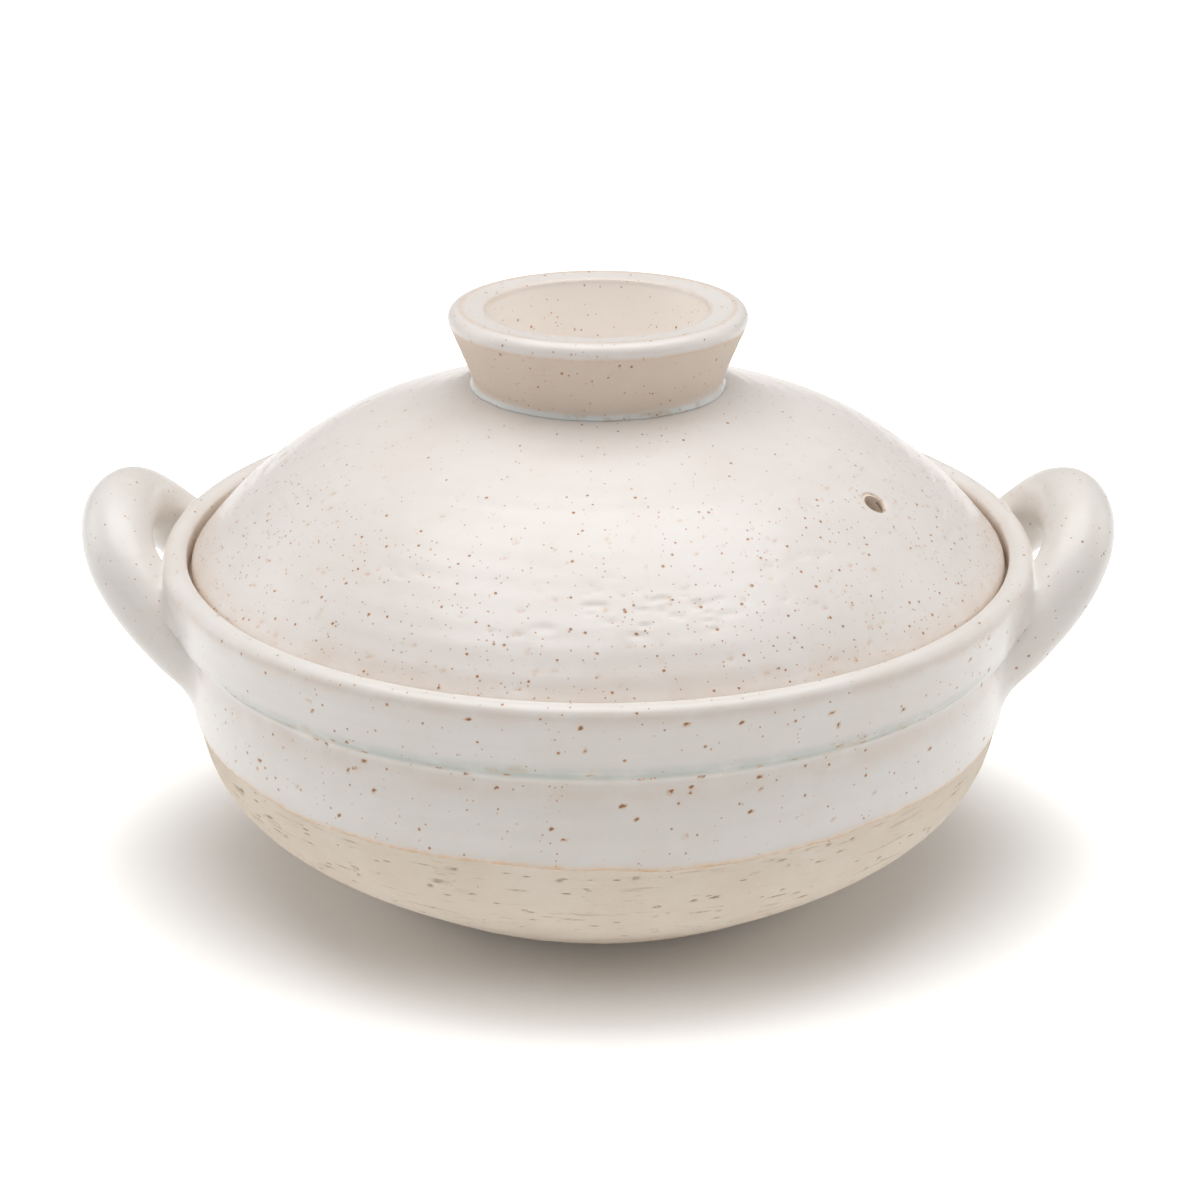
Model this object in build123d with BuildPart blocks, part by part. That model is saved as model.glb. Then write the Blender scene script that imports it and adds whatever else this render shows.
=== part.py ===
from build123d import *
from math import cos, pi, radians, sin
import os

os.makedirs("parts", exist_ok=True)

# A donabe: a round-bellied clay bowl with two loop handles, and a domed lid with a ring knob.
# Millimetres, +Z up. The origin is the centre of the foot, on the surface that the pot stands on.
# The handles are on the X axis. The steam hole is on the lid's +X side, towards -Y.
# Each outline is a half section: distance from the pot's axis, then height.

# Glaze and fits
glaze_coat = 0.6
lid_clearance = 0.8
overrun = 20.0

# Bowl, bare clay: the belly's two sizes, then what is set off from them
belly_radius = 125.7
groove_height = 85.6
foot_inset = 68.7
foot_ring_width = 10.0
foot_recess_depth = 3.0
groove_fillet = 2.0
collar_step = 3.9
collar_step_rise = 4.2
collar_flare = 1.8
collar_rise = 15.4
lip_width = 6.5
lip_crown_inset = 4.2
lip_rise = 3.2
lip_inner_rise = 1.6
gallery_depth = 7.2
ledge_width = 9.9
ledge_edge = 3.0
bowl_wall = 7.5
bowl_floor = 8.5
glaze_line_drop = 26.6
bare_strip = 2.0

foot_radius = belly_radius - foot_inset
foot_recess_radius = foot_radius - foot_ring_width
collar_foot_radius = belly_radius + collar_step
collar_foot_height = groove_height + collar_step_rise
rim_radius = collar_foot_radius + collar_flare
rim_height = collar_foot_height + collar_rise
gallery_radius = rim_radius - lip_width
ledge_height = rim_height - gallery_depth
ledge_inner_radius = gallery_radius - ledge_width
glaze_line = groove_height - glaze_line_drop

# The belly's outline between foot and groove: share of its radius, share of the groove's height
belly_shares = [(0.574, 0.058), (0.754, 0.220), (0.867, 0.342), (0.954, 0.480), (0.992, 0.649)]
belly_foot_slope = 20.0

# Where the inner wall and the glaze are measured off an outline, as shares of its length
wall_station_shares = [0.30, 0.45, 0.60, 0.75, 0.88, 1.0]
coat_station_shares = [0, 0.1, 0.2, 0.3, 0.4, 0.5, 0.6, 0.7, 0.8, 0.9, 1.0]

# Handles, bare clay: each is an arch with its feet set on the groove, leaning outwards
# and then curling up. The crown is where it ends, the shoulder is what it heads for at its feet.
handle_root_inset = 3.3
handle_root_drop = 1.6
handle_half_spread = 32.2
handle_shoulder_reach = 18.4
handle_shoulder_rise = 19.0
handle_crown_reach = 23.1
handle_crown_rise = 30.0
handle_root_depth = 14.0
handle_limb_radius = 9.2
handle_crown_swell = 1.1
handle_foot_swell = 1.6
handle_stations = 13
handle_flare_share = 0.30

handle_root_reach = belly_radius - handle_root_inset
handle_root_height = groove_height - handle_root_drop

# Lid, bare clay
lid_edge_drop = 0.6
lid_edge_fillet = 1.2
lid_rise = 51.4
lid_wall = 7.0
lid_seat_width = 7.5
lid_seat_direction = (0.5, -1)

lid_radius = gallery_radius - 2 * glaze_coat - lid_clearance
lid_edge_height = rim_height - lid_edge_drop
crown_height = lid_edge_height + lid_rise

# The dome's outline from its crown to its edge: share of the lid's radius, share of its rise
dome_shares = [(0.240, 0.988), (0.310, 0.958), (0.387, 0.890), (0.485, 0.806), (0.592, 0.722),
               (0.700, 0.606), (0.808, 0.437), (0.915, 0.228)]
lid_station_shares = [0.25, 0.45, 0.65, 0.85]

# Ring knob, bare clay: its ridge's height above the lid's crown, then what is set off from the ridge
knob_radius = 43.9
knob_rise = 21.4
knob_band_inset = 0.5
knob_band_drop = 4.2
knob_shoulder_drop = 2.4
knob_ridge_inset = 3.4
knob_top_width = 7.4
knob_mouth_drop = 0.5
knob_hollow_inset = 3.6
knob_root_inset = 10.0
knob_root_drop = 6.0
knob_edge_fillet = 0.8
knob_glaze_pool = 3.0

knob_root_radius = knob_radius - knob_root_inset
knob_band_radius = knob_radius - knob_band_inset
knob_ridge_radius = knob_radius - knob_ridge_inset
knob_mouth_radius = knob_ridge_radius - knob_top_width
knob_hollow_radius = knob_mouth_radius - knob_hollow_inset
ridge_height = crown_height + knob_rise

# Steam hole, drilled square to the dome
steam_hole_radius = 3.6
steam_hole_inset = 31.7
steam_hole_turn = -30.9
steam_hole_lean = 36.0
steam_hole_reach = lid_radius - steam_hole_inset


def belly_points():
    """The belly's outline points, from the foot's edge up to the groove."""
    points = [(foot_radius, 0)]
    for radius_share, height_share in belly_shares:
        points.append((belly_radius * radius_share, groove_height * height_share))
    points.append((belly_radius, groove_height))
    return points


def dome_points():
    """The dome's outline points, from the crown to the edge."""
    points = [(0, crown_height)]
    for radius_share, rise_share in dome_shares:
        points.append((lid_radius * radius_share, lid_edge_height + lid_rise * rise_share))
    points.append((lid_radius, lid_edge_height))
    return points


def dome_height_at(reach):
    """Height of the dome's outline at a distance from the axis, between its two nearest points."""
    points = dome_points()
    for (near, high), (far, low) in zip(points, points[1:]):
        if near <= reach <= far:
            return high + (low - high) * (reach - near) / (far - near)
    return lid_edge_height


def outline_points(outline, shift, station_shares):
    """Points beside an outline, a shift to its left and square to it, at shares of its length."""
    points = []
    for share in station_shares:
        across = (outline % share).rotate(Axis.Z, 90)
        points.append(outline @ share + across * shift)
    return points


def revolve_section(section):
    """A full turn of a half section about the pot's axis."""
    revolve(section.sketch, axis=Axis.Z, revolution_arc=360)


# Bowl sections

with BuildLine() as belly_line:
    foot_slope = radians(belly_foot_slope)
    Spline(*belly_points(), tangents=[(cos(foot_slope), sin(foot_slope)), (0, 1)])
belly = belly_line.line.edges()[0]


def bowl_form(coat):
    """The bowl's outer form with no hollow, bare or with a coat of glaze on it."""
    with BuildSketch(Plane.XZ) as form:
        with BuildLine():
            skin = Spline(*outline_points(belly, -coat, coat_station_shares), tangents=[belly % 0, belly % 1])
            collar_foot = (collar_foot_radius + coat, collar_foot_height)
            collar_top = (rim_radius + coat, rim_height)
            lip_crown = (rim_radius - lip_crown_inset, rim_height + lip_rise + coat)
            lip_end = (gallery_radius - coat, rim_height + lip_inner_rise)
            Polyline(skin @ 1, collar_foot, collar_top)
            ThreePointArc(collar_top, lip_crown, lip_end)
            Polyline(lip_end, (0, lip_end[1]), (0, 0), skin @ 0)
        make_face()
        turns = form.vertices().filter_by(
            lambda v: v.X > foot_radius and groove_height - bare_strip < v.Y < collar_foot_height + bare_strip
        )
        fillet(turns, groove_fillet)
    return form


def bowl_space(coat):
    """The space inside the bowl, up to the ledge, bare or with a coat of glaze on its wall."""
    with BuildSketch(Plane.XZ) as space:
        with BuildLine():
            floor_centre = (0, bowl_floor + coat)
            wall_points = outline_points(belly, bowl_wall + coat, wall_station_shares)
            wall = Spline(floor_centre, *wall_points, tangents=[(1, 0), (0, 1)])
            Polyline(
                wall @ 1,
                (ledge_inner_radius - coat, ledge_height - ledge_edge),
                (ledge_inner_radius - coat, ledge_height),
                (0, ledge_height),
                floor_centre,
            )
        make_face()
    return space


with BuildSketch(Plane.XZ) as bowl_section:
    add(bowl_form(0).sketch_local)
    add(bowl_space(0).sketch_local, mode=Mode.SUBTRACT)
    with Locations((0, ledge_height)):
        Rectangle(gallery_radius, rim_height, align=(Align.MIN, Align.MIN), mode=Mode.SUBTRACT)
    with BuildLine():
        recess_rim = (foot_recess_radius - foot_recess_depth, foot_recess_depth)
        Polyline((0, 0), (foot_recess_radius, 0), recess_rim, (0, foot_recess_depth), close=True)
    make_face(mode=Mode.SUBTRACT)

# Glaze on the bowl: one coat outside, from the glaze line over the lip and down the gallery,
# and one inside, up to the ledge. The foot, the ledge and a strip beside it are bare clay.

with BuildSketch(Plane.XZ) as outer_coat:
    add(bowl_form(glaze_coat).sketch_local)
    add(bowl_section.sketch_local, mode=Mode.SUBTRACT)
    with BuildLine():
        wall_middle = belly_radius - bowl_wall / 2
        rim_middle = (rim_radius + gallery_radius) / 2
        Polyline(
            (wall_middle, glaze_line),
            (rim_radius + overrun, glaze_line),
            (rim_radius + overrun, rim_height + overrun),
            (gallery_radius - glaze_coat, rim_height + overrun),
            (gallery_radius - glaze_coat, ledge_height + bare_strip),
            (rim_middle, ledge_height + bare_strip),
            (rim_middle, ledge_height - bare_strip),
            (wall_middle, ledge_height - bare_strip),
            close=True,
        )
    make_face(mode=Mode.INTERSECT)

with BuildSketch(Plane.XZ) as inner_coat:
    add(bowl_space(0).sketch_local)
    add(bowl_space(glaze_coat).sketch_local, mode=Mode.SUBTRACT)
    with Locations((0, ledge_height - bare_strip)):
        Rectangle(gallery_radius, rim_height, align=(Align.MIN, Align.MIN), mode=Mode.SUBTRACT)

# Bowl, thrown as one piece, and the same form filled in, which trims what is luted on

with BuildPart() as bowl_body:
    revolve_section(bowl_section)
bowl_body.part.label = "bowl_body"
export_step(bowl_body.part, "parts/bowl_body.step")

with BuildPart() as bowl_inner_glaze:
    revolve_section(inner_coat)
bowl_inner_glaze.part.label = "bowl_inner_glaze"
export_step(bowl_inner_glaze.part, "parts/bowl_inner_glaze.step")

with BuildPart() as filled_bowl:
    revolve_section(bowl_form(0))

# Handles: rolled clay, bent to an arch and luted on across the groove


def handle_radius(share, coat):
    """Half thickness of the bar at a share of the arch, 0 and 1 at its feet, with a coat on it."""
    crown = sin(pi * share) ** 2
    flare = max(0, 1 - min(share, 1 - share) / handle_flare_share) ** 2
    return handle_limb_radius + handle_crown_swell * crown + handle_foot_swell * flare + coat


def arch_point(side, share):
    """The arch's centre line at a share of it: an ellipse's sweep along Y, a bent line across."""
    rise = sin(pi * share)
    out = 2 * rise * (1 - rise) * handle_shoulder_reach + rise**2 * handle_crown_reach
    up = 2 * rise * (1 - rise) * handle_shoulder_rise + rise**2 * handle_crown_rise
    return Vector(
        side * (handle_root_reach + out),
        handle_half_spread * cos(pi * share),
        handle_root_height + up,
    )


def arch_direction(side, share):
    """The arch's direction at a share of it, from the derivatives of its three distances."""
    rise = sin(pi * share)
    rate = 2 * cos(pi * share)
    out = rate * ((1 - 2 * rise) * handle_shoulder_reach + rise * handle_crown_reach)
    up = rate * ((1 - 2 * rise) * handle_shoulder_rise + rise * handle_crown_rise)
    return Vector(side * out, -handle_half_spread * rise, up).normalized()


def handle_bar(side, coat):
    """The bar of one handle, bare or coated, cut to lie on the bowl's outer form."""
    square = Vector(-handle_crown_rise, 0, side * handle_crown_reach)
    first, last = arch_direction(side, 0), arch_direction(side, 1)
    stations = [(arch_point(side, 0) - first * handle_root_depth, first, 0)]
    for station in range(handle_stations):
        share = station / (handle_stations - 1)
        stations.append((arch_point(side, share), arch_direction(side, share), share))
    stations.append((arch_point(side, 1) + last * handle_root_depth, last, 1))
    with BuildPart() as bar:
        for centre, along, share in stations:
            with BuildSketch(Plane(origin=centre, x_dir=along.cross(square.cross(along)), z_dir=along)):
                Circle(handle_radius(share, coat))
        loft()
        add(filled_bowl.part, mode=Mode.SUBTRACT)
    return bar.part


with BuildPart() as handle_right:
    add(handle_bar(1, 0))
handle_right.part.label = "handle_right"
export_step(handle_right.part, "parts/handle_right.step")

with BuildPart() as handle_left:
    add(handle_bar(-1, 0))
handle_left.part.label = "handle_left"
export_step(handle_left.part, "parts/handle_left.step")

# The outer glaze runs on over both handles as one coat

with BuildPart() as bowl_outer_glaze:
    revolve_section(outer_coat)
    add(handle_bar(1, glaze_coat))
    add(handle_bar(-1, glaze_coat))
    add(handle_right.part, mode=Mode.SUBTRACT)
    add(handle_left.part, mode=Mode.SUBTRACT)
bowl_outer_glaze.part.label = "bowl_outer_glaze"
export_step(bowl_outer_glaze.part, "parts/bowl_outer_glaze.step")

# Lid sections

with BuildLine() as dome_line:
    (near_reach, near_height), (edge_reach, edge_height) = dome_points()[-2:]
    Spline(*dome_points(), tangents=[(1, 0), (edge_reach - near_reach, edge_height - near_height)])
dome = dome_line.line.edges()[0]


def lid_form(coat):
    """The lid's outer form with no hollow and no knob, bare or with a coat of glaze on it."""
    with BuildSketch(Plane.XZ) as form:
        with BuildLine():
            skin = Spline(*outline_points(dome, coat, coat_station_shares), tangents=[dome % 0, dome % 1])
            Polyline(skin @ 1, (lid_radius + coat, ledge_height), (0, ledge_height), skin @ 0)
        make_face()
        edge = form.vertices().filter_by(
            lambda v: v.X > ledge_inner_radius and v.Y > ledge_height + lid_edge_fillet
        )
        fillet(edge, lid_edge_fillet + coat)
    return form


def lid_space(coat):
    """The hollow under the dome, bare or with a coat of glaze on its wall."""
    with BuildSketch(Plane.XZ) as space:
        with BuildLine():
            under_crown = dome @ 0 - Vector(0, lid_wall + coat)
            under_dome = outline_points(dome, -lid_wall - coat, lid_station_shares)
            seat_edge = (lid_radius - lid_seat_width - coat, ledge_height)
            Spline(under_crown, *under_dome, seat_edge, tangents=[(1, 0), lid_seat_direction])
            Polyline(seat_edge, (0, ledge_height), under_crown)
        make_face()
    return space


def knob_form(coat):
    """The ring knob's section, its root run on into the dome, bare or with a coat on it."""
    with BuildSketch(Plane.XZ) as form:
        with BuildLine():
            band_edge = (knob_band_radius + coat, ridge_height - knob_band_drop)
            shoulder = (knob_radius + coat, ridge_height - knob_shoulder_drop)
            ridge = (knob_ridge_radius, ridge_height + coat)
            mouth = (knob_mouth_radius, ridge_height - knob_mouth_drop + coat)
            ThreePointArc(band_edge, shoulder, ridge)
            Polyline(
                ridge,
                mouth,
                (knob_hollow_radius - coat, crown_height),
                (knob_hollow_radius - coat, crown_height - knob_root_drop),
                (knob_root_radius + coat, crown_height - knob_root_drop),
                band_edge,
            )
        make_face()
        edges = form.vertices().filter_by(lambda v: v.Y > crown_height + knob_edge_fillet)
        fillet(edges, knob_edge_fillet + coat)
    return form


with BuildSketch(Plane.XZ) as lid_section:
    add(lid_form(0).sketch_local)
    add(lid_space(0).sketch_local, mode=Mode.SUBTRACT)

with BuildSketch(Plane.XZ) as knob_section:
    add(knob_form(0).sketch_local)
    add(lid_form(0).sketch_local, mode=Mode.SUBTRACT)

# Glaze on the lid: one coat over dome and knob, pooled where they meet, and one under the dome.
# The seat and a strip beside it are bare clay.

with BuildSketch(Plane.XZ) as lid_top_coat:
    add(lid_form(glaze_coat).sketch_local)
    add(knob_form(glaze_coat).sketch_local)
    neck_foot = (knob_root_radius, dome_height_at(knob_root_radius))
    fillet(lid_top_coat.vertices().sort_by_distance(neck_foot)[0], knob_glaze_pool)
    add(lid_form(0).sketch_local, mode=Mode.SUBTRACT)
    add(knob_form(0).sketch_local, mode=Mode.SUBTRACT)
    with Locations((0, ledge_height + bare_strip)):
        Rectangle(rim_radius, rim_radius, align=(Align.MIN, Align.MIN), mode=Mode.INTERSECT)

with BuildSketch(Plane.XZ) as lid_under_coat:
    add(lid_space(0).sketch_local)
    add(lid_space(glaze_coat).sketch_local, mode=Mode.SUBTRACT)
    with Locations((0, ledge_height + bare_strip)):
        Rectangle(rim_radius, rim_radius, align=(Align.MIN, Align.MIN), mode=Mode.INTERSECT)

# The drill for the steam hole stands square to the dome

hole_turn = radians(steam_hole_turn)
hole_lean = radians(steam_hole_lean)
hole_place = (
    steam_hole_reach * cos(hole_turn),
    steam_hole_reach * sin(hole_turn),
    dome_height_at(steam_hole_reach),
)
hole_axis = (sin(hole_lean) * cos(hole_turn), sin(hole_lean) * sin(hole_turn), cos(hole_lean))

with BuildPart() as steam_drill:
    with BuildSketch(Plane(origin=hole_place, z_dir=hole_axis)):
        Circle(steam_hole_radius)
    extrude(amount=overrun, both=True)

# Lid, thrown as one piece, with the knob luted on its crown

with BuildPart() as lid_dome:
    revolve_section(lid_section)
    add(steam_drill.part, mode=Mode.SUBTRACT)
lid_dome.part.label = "lid_dome"
export_step(lid_dome.part, "parts/lid_dome.step")

with BuildPart() as lid_knob:
    revolve_section(knob_section)
lid_knob.part.label = "lid_knob"
export_step(lid_knob.part, "parts/lid_knob.step")

with BuildPart() as lid_outer_glaze:
    revolve_section(lid_top_coat)
    add(steam_drill.part, mode=Mode.SUBTRACT)
lid_outer_glaze.part.label = "lid_outer_glaze"
export_step(lid_outer_glaze.part, "parts/lid_outer_glaze.step")

with BuildPart() as lid_inner_glaze:
    revolve_section(lid_under_coat)
    add(steam_drill.part, mode=Mode.SUBTRACT)
lid_inner_glaze.part.label = "lid_inner_glaze"
export_step(lid_inner_glaze.part, "parts/lid_inner_glaze.step")
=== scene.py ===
import math

import bpy
import numpy as np
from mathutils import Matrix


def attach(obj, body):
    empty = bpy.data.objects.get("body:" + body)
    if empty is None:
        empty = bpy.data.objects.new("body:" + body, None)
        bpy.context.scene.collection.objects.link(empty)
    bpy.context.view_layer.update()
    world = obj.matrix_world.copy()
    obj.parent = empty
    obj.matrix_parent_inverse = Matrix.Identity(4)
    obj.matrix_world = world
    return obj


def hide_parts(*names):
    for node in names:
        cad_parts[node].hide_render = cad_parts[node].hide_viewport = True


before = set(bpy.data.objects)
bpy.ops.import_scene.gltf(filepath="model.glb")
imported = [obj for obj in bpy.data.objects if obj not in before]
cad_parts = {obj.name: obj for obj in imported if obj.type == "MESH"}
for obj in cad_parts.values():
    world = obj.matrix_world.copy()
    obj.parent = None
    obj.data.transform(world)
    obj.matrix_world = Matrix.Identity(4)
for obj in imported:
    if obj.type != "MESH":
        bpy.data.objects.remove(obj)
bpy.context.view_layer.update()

# The donabe's visible surfaces, in metres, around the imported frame.
# Outlines are half sections, distance from the pot's axis then height, and are written in millimetres.
MM = 0.001

# Sizes of the pot that the surfaces follow
coat = 0.6
# How far in from its edge a coat is rounded, and how far its back reaches into its clay
coat_edge = 0.8
overlap = 0.05
foot_radius = 57.0
foot_recess_radius = 47.0
foot_recess_depth = 3.0
belly_radius = 125.7
groove_height = 85.6
groove_rounding = (1.8, 1.5)
groove_rounding_drop = 1.5
collar_foot_radius = 129.6
collar_foot_height = 89.8
rim_radius = 131.4
rim_height = 105.2
lip_crown_inset = 4.2
lip_rise = 3.2
lip_inner_rise = 1.6
gallery_radius = 124.9
ledge_height = 98.0
ledge_inner_radius = 115.0
ledge_edge = 3.0
bowl_wall = 7.5
bowl_floor = 8.5
glaze_line = 59.0
bare_strip = 2.0
belly_slope = math.radians(20.0)
belly_shares = [(0.574, 0.058), (0.754, 0.220), (0.867, 0.342), (0.954, 0.480), (0.992, 0.649)]
wall_shares = (0.30, 0.45, 0.60, 0.75, 0.88, 1.0)

handle_root_reach = 122.4
handle_root_height = 84.0
handle_half_spread = 32.2
handle_shoulder = np.array([18.4, 19.0])
handle_crown = np.array([23.1, 30.0])
handle_root_depth = 14.0
handle_foot_radius = 10.8
handle_limb_radius = 9.2
handle_crown_radius = 10.3
handle_flare_share = 0.30

lid_radius = 122.9
lid_edge_height = 104.6
lid_edge_rounding = (0.5, 1.5)
lid_edge_rounding_reach = 4.0
lid_rise = 51.4
dome_shares = [(0.240, 0.988), (0.310, 0.958), (0.387, 0.890), (0.485, 0.806), (0.592, 0.722),
               (0.700, 0.606), (0.808, 0.437), (0.915, 0.228)]
crown_height = lid_edge_height + lid_rise

knob_root_radius = 33.9
knob_root_drop = 6.0
knob_band_radius = 43.4
knob_band_rise = 17.2
knob_radius = 43.9
knob_shoulder_rise = 19.0
knob_ridge_radius = 40.5
knob_ridge_rise = 21.4
knob_mouth_radius = 33.1
knob_mouth_rise = 20.9
knob_hollow_radius = 29.5

hole_radius = 3.6
hole_reach = 91.2
hole_turn = math.radians(-30.9)
hole_lean = math.radians(36.0)


# Camera, at the photograph's viewing angle

camera_place = (0.6 * MM, -616.6 * MM, 341.5 * MM)
camera_pitch = math.radians(22.681)
camera_lens = 64.37


def make_camera():
    """A camera looking along +Y and pitched down onto the pot."""
    data = bpy.data.cameras.new("camera")
    data.sensor_width = 36.0
    data.lens = camera_lens
    camera = bpy.data.objects.new("camera", data)
    camera.location = camera_place
    camera.rotation_euler = (math.pi / 2 - camera_pitch, 0, 0)
    bpy.context.scene.collection.objects.link(camera)
    bpy.context.scene.camera = camera


# Outlines


def through(points, start=None, end=None, steps=24):
    """A cubic spline through points over the lengths of its chords, with continuous curvature. Start
    and end give the slopes at its ends, or else each end runs along its chord."""
    points = np.asarray(points, float)
    chords = np.linalg.norm(np.diff(points, axis=0), axis=1)
    slopes = np.diff(points, axis=0) / chords[:, None]
    count = len(points)
    system, given = np.eye(count), np.zeros((count, 2))
    for i in range(1, count - 1):
        before, after = 1 / chords[i - 1], 1 / chords[i]
        system[i, i - 1:i + 2] = before, 2 * (before + after), after
        given[i] = 3 * (slopes[i - 1] * before + slopes[i] * after)
    given[0] = slopes[0] if start is None else np.asarray(start) / np.linalg.norm(start)
    given[-1] = slopes[-1] if end is None else np.asarray(end) / np.linalg.norm(end)
    tangents = np.linalg.solve(system, given)
    t = np.linspace(0, 1, steps, endpoint=False)[None, :, None]
    a, b = points[:-1, None], points[1:, None]
    ta, tb = (tangents[:-1] * chords[:, None])[:, None], (tangents[1:] * chords[:, None])[:, None]
    pieces = ((2 * t**3 - 3 * t**2 + 1) * a + (t**3 - 2 * t**2 + t) * ta
              + (3 * t**2 - 2 * t**3) * b + (t**3 - t**2) * tb)
    return np.vstack([pieces.reshape(-1, 2), points[-1:]])


def beside(line, shift):
    """A line moved to its left by a shift, square to itself."""
    along = np.gradient(line, axis=0)
    along /= np.linalg.norm(along, axis=1)[:, None]
    return line + shift * np.stack([-along[:, 1], along[:, 0]], 1)


def arc_through(a, b, c, steps=16):
    """The arc from a through b to c, from the circle through all three."""
    a, b, c = (np.asarray(p, float) for p in (a, b, c))
    square = np.array([b - a, c - a])
    centre = np.linalg.solve(square, 0.5 * (square**2).sum(1)) + a
    radius = np.linalg.norm(a - centre)
    angles = [math.atan2(*(p - centre)[::-1]) for p in (a, b, c)]
    turn = np.unwrap(angles)
    turn = np.linspace(turn[0], turn[2], steps)
    return centre + radius * np.stack([np.cos(turn), np.sin(turn)], 1)


def rounded(corners, radii, steps=9):
    """A line through corners, each inner one cut by an arc of its radius, tangent to both sides."""
    corners = np.asarray(corners, float)
    line = [corners[:1]]
    for before, corner, after, radius in zip(corners, corners[1:], corners[2:], radii):
        u = (before - corner) / np.linalg.norm(before - corner)
        w = (after - corner) / np.linalg.norm(after - corner)
        half = 0.5 * math.acos(float(np.clip(u @ w, -1, 1)))
        reach = radius / math.tan(half)
        centre = corner + (u + w) / np.linalg.norm(u + w) * radius / math.sin(half)
        first, last = corner + u * reach - centre, corner + w * reach - centre
        sweep = math.pi - 2 * half
        t = np.linspace(0, 1, steps)[:, None]
        line.append(centre + (np.sin((1 - t) * sweep) * first + np.sin(t * sweep) * last) / math.sin(sweep))
    line.append(corners[-1:])
    return np.vstack(line)


def steps_of(line):
    """Distances along a line to each of its points, from its first."""
    return np.r_[0, np.cumsum(np.linalg.norm(np.diff(line, axis=0), axis=1))]


def spaced(line, spacing):
    """A line's points moved to an even spacing along it, its two ends kept."""
    line = np.asarray(line, float)
    keep = np.r_[True, np.linalg.norm(np.diff(line, axis=0), axis=1) > 1e-9]
    line = line[keep]
    run = steps_of(line)
    count = max(2, int(round(run[-1] / spacing)) + 1)
    stops = np.linspace(0, run[-1], count)
    return np.stack([np.interp(stops, run, line[:, i]) for i in (0, 1)], 1)


belly_points = [(foot_radius, 0)]
belly_points += [(belly_radius * r, groove_height * z) for r, z in belly_shares]
belly_points += [(belly_radius, groove_height)]
belly = through(belly_points, start=(math.cos(belly_slope), math.sin(belly_slope)), end=(0, 1))

dome_points = [(0, crown_height)]
dome_points += [(lid_radius * r, lid_edge_height + lid_rise * z) for r, z in dome_shares]
dome_points += [(lid_radius, lid_edge_height)]
dome_end = np.subtract(dome_points[-1], dome_points[-2])
dome = through(dome_points, start=(1, 0), end=dome_end)


# Unevenness of hand-made clay


def smooth_step(x):
    """0 below 0, 1 above 1, and an S between."""
    x = np.clip(x, 0, 1)
    return x * x * (3 - 2 * x)


def lattice(across, along, cells_across, cells_along, seed):
    """Smooth noise from -1 to 1 on a lattice of random values. Across runs once round, 0 to 1, and
    closes on itself; along runs from 0 to 1. Between lattice values it blends with an S curve."""
    values = np.random.default_rng(seed).uniform(-1, 1, (cells_across, cells_along + 2))
    x, y = across * cells_across, along * cells_along
    i, j = np.floor(x).astype(int), np.clip(np.floor(y).astype(int), 0, cells_along)
    fx, fy = smooth_step(x - i), smooth_step(y - j)
    low = values[i % cells_across, j] * (1 - fx) + values[(i + 1) % cells_across, j] * fx
    high = values[i % cells_across, j + 1] * (1 - fx) + values[(i + 1) % cells_across, j + 1] * fx
    return low * (1 - fy) + high * fy


def thrown(turn, run, length, seed, pitch=6.5, ring=0.10, wave=0.12, skin=0.05):
    """Height of a thrown surface in millimetres: finger rings that climb one pitch a turn and come
    and go, a slow waver, and the skin's small lumps, which are wider than they are high."""
    share = run / length
    climb = np.sin(2 * np.pi * (run / pitch - turn)) * (0.6 + 0.4 * lattice(turn, share, 7, 9, seed))
    slow = lattice(turn, share, 9, max(2, int(length / 22)), seed + 1)
    lumps = lattice(turn, share, 150, max(3, int(length / 2.6)), seed + 2)
    fine = lattice(turn, share, 310, max(3, int(length / 1.6)), seed + 3)
    return ring * climb + wave * slow + skin * lumps + 0.5 * skin * fine


def dents(turn, run, radius, count, seed, run_range, length_range, height_range, depth_range,
          turn_range=(0, 1)):
    """Depth of scattered dents in millimetres, each an oval dish (1 - d squared) squared that lies
    along the turn, and a value from 0 to 1 that says where they are."""
    pick = np.random.default_rng(seed)
    depth = np.zeros_like(turn)
    mark = np.zeros_like(turn)
    for _ in range(count):
        at_turn, at_run = pick.uniform(*turn_range), pick.uniform(*run_range)
        half_length, half_height = pick.uniform(*length_range), pick.uniform(*height_range)
        deep = pick.uniform(*depth_range)
        away = (turn - at_turn + 0.5) % 1 - 0.5
        d = (away * 2 * np.pi * radius / half_length) ** 2 + ((run - at_run) / half_height) ** 2
        dish = np.clip(1 - d, 0, None) ** 2
        depth = np.maximum(depth, deep * dish)
        mark = np.maximum(mark, dish)
    return depth, mark


# Meshes


def mesh_piece(name, places, faces, attributes=None):
    """A smooth-shaded mesh from arrays of places in millimetres and of four-sided faces."""
    mesh = bpy.data.meshes.new(name)
    mesh.from_pydata([], [], [])
    places = np.asarray(places, float).reshape(-1, 3) * MM
    mesh.vertices.add(len(places))
    mesh.vertices.foreach_set("co", places.ravel())
    faces = [np.asarray(group, np.int32) for group in faces if len(group)]
    sizes = np.concatenate([np.full(len(group), group.shape[1], np.int32) for group in faces])
    starts = np.r_[0, np.cumsum(sizes)[:-1]].astype(np.int32)
    corners = np.concatenate([group.ravel() for group in faces])
    mesh.loops.add(len(corners))
    mesh.loops.foreach_set("vertex_index", corners)
    mesh.polygons.add(len(sizes))
    mesh.polygons.foreach_set("loop_start", starts)
    mesh.polygons.foreach_set("use_smooth", np.ones(len(sizes), bool))
    for key, values in (attributes or {}).items():
        layer = mesh.attributes.new(key, "FLOAT", "POINT")
        layer.data.foreach_set("value", np.asarray(values, np.float32).ravel())
    mesh.update(calc_edges=True)
    mesh.validate()
    piece = bpy.data.objects.new(name, mesh)
    bpy.context.scene.collection.objects.link(piece)
    return piece


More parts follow.
